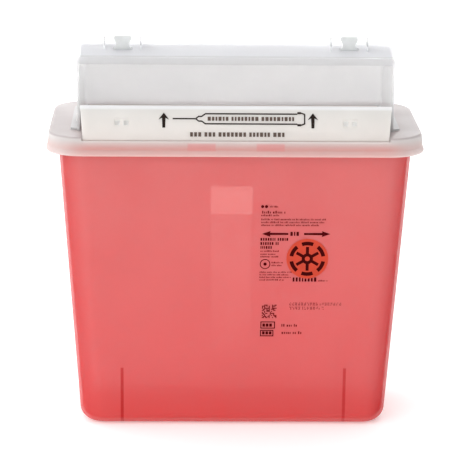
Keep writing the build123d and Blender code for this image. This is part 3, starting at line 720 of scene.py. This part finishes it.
def print_front(ink, thin_ink):
    """Lines of blocks, fill arrows, a code patch and outlined boxes on the tub's front wall."""
    face = FlatFace("tub")
    # Heights below are measured up the wall from the floor. The flat face starts a little above it.
    to_floor = -face.foot.z / MM / face.up.z
    draw = random.Random(SEED + 1)

    words = Print(face, to_floor)
    small = (
        # left, right, foot, height
        (25.0, 31.4, 169.9, 1.4),
        (19.4, 37.0, 165.4, 2.0),
        (18.8, 31.8, 163.3, 1.4),
        (18.9, 66.0, 160.3, 1.3),
        (18.9, 64.5, 158.1, 1.3),
        (18.9, 61.0, 155.9, 1.3),
        (18.6, 32.5, 136.2, 1.2),
        (18.6, 30.8, 133.9, 1.2),
        (18.6, 32.0, 131.9, 1.2),
        (26.8, 35.6, 127.4, 1.2),
        (26.8, 34.4, 125.2, 1.2),
        (18.2, 41.7, 120.1, 1.1),
        (18.2, 40.2, 118.1, 1.1),
        (18.2, 41.2, 116.1, 1.1),
        (18.2, 36.0, 114.1, 1.1),
        (61.0, 68.0, 113.6, 1.1),
        (34.8, 46.9, 78.3, 2.1),
        (35.0, 51.1, 72.6, 2.1),
    )
    for left, right, foot, height in small:
        words.words(left, right, foot, height, draw, uneven=True)
    words.finish("print_front_words", thin_ink, "container")

    bold = Print(face, to_floor)
    for left, right, foot, height in (
        (18.5, 38.8, 144.7, 2.1),
        (18.5, 32.1, 141.5, 2.1),
        (18.6, 27.6, 138.5, 2.1),
        (42.4, 59.7, 113.4, 3.2),
        (40.1, 48.4, 148.5, 3.0),
    ):
        bold.words(left, right, foot, height, draw, letters=(4, 9))
    bold.finish("print_front_headings", ink, "container")

    arrows = Print(face, to_floor)
    fill_line = 149.9
    for tail, tip in ((38.6, 19.5), (50.0, 69.1)):
        arrows.arrow((tail, fill_line), (tip, fill_line), shaft=1.7, head=(4.4, 6.2), sweep=0.92)
    for across in (19.7, 22.5):
        arrows.dot(across, 170.6, 1.15, sides=12)
    badge = (22.1, 126.8)
    arrows.ring(*badge, outer=3.8, inner=3.2)
    arrows.dot(*badge, radius=1.2)
    box_line = 0.7
    arrows.outline(19.4, 76.8, 30.1, 82.3, box_line)
    arrows.outline(19.2, 70.7, 29.0, 75.7, box_line)
    letter_pitch, letter_wide, letter_tall = 2.5, 1.9, 2.4
    for left, foot in ((20.9, 78.3), (20.7, 72.2)):
        for i in range(3):
            start = left + letter_pitch * i
            arrows.bar(start, foot, start + letter_wide, foot + letter_tall)
    arrows.finish("print_front_arrows", ink, "container")

    code = Print(face, to_floor)
    cells = 13
    filled = 0.94  # share of a cell's size that is inked
    left, right, foot, top = 20.3, 31.1, 85.0, 95.5
    wide, tall = (right - left) / cells, (top - foot) / cells
    for i in range(cells):
        for j in range(cells):
            if draw.random() < 0.52:
                across, up = left + i * wide, foot + j * tall
                code.bar(across, up, across + filled * wide, up + filled * tall)
    code.finish("print_front_code", thin_ink, "container")

    # Two rows of ink-jet dots, in small random clusters.
    dots = Print(face, to_floor)
    cluster_pitch = 2.15
    for left, right, foot in ((40.6, 77.7, 95.2), (40.7, 65.1, 92.0)):
        across = left
        while across < right:
            for column in range(2):
                for row in range(3):
                    if draw.random() < 0.72:
                        dots.dot(across + 0.75 * column, foot + 0.8 * row, radius=0.31, sides=6)
            across += cluster_pitch
    dots.finish("print_front_dots", ink, "container")


def print_disc(ink):
    """Plain emblem on the round label: a broken ring, spokes and a hub."""
    face = FlatFace("hazard_disc")
    low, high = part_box("hazard_disc")
    across = (low.x + high.x) / 2 / MM
    radius = (high.x - low.x) / 2 / MM
    emblem = Print(face)
    spokes = 6
    gap = 0.34  # angle left open between two stretches of the ring
    spoke_wide = 2.2
    near, far = 0.26 * radius, 0.60 * radius
    for i in range(spokes):
        start = 2 * pi * i / spokes + gap / 2
        emblem.ring(across, radius, 0.86 * radius, 0.68 * radius, start, 2 * pi / spokes - gap, steps=8)
        turn = start + pi / spokes - gap / 2
        emblem.line(
            (across + near * cos(turn), radius + near * sin(turn)),
            (across + far * cos(turn), radius + far * sin(turn)),
            spoke_wide,
        )
    emblem.ring(across, radius, 0.27 * radius, 0.12 * radius, steps=24)
    emblem.finish("print_disc_emblem", ink, "container")


# ---------------------------------------------------------------- build
make_camera()
make_world()
make_lights()
make_floor()

tab_plastic = natural_tab()
finishes = {
    "tub": red_polypropylene(),
    "lid_deck": natural_lid(),
    "hood": natural_hood(),
    "lock_tab_left": tab_plastic,
    "lock_tab_right": tab_plastic,
    "drop_tray": white_tray(),
    "hazard_disc": film_label("disc_film", DISC_ORANGE),
    "rear_label": film_label("white_film", LABEL_WHITE, alpha=0.22),
}
for node, material in finishes.items():
    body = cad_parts[node]
    body.data.materials.clear()
    body.data.materials.append(material)

print_flap(printing_ink("flap_ink", FLAP_INK), printing_ink("flap_ink_thin", FLAP_INK_THIN))
print_front(printing_ink("tub_ink", TUB_INK), printing_ink("tub_ink_thin", TUB_INK_THIN))
print_disc(printing_ink("disc_ink", DISC_INK))
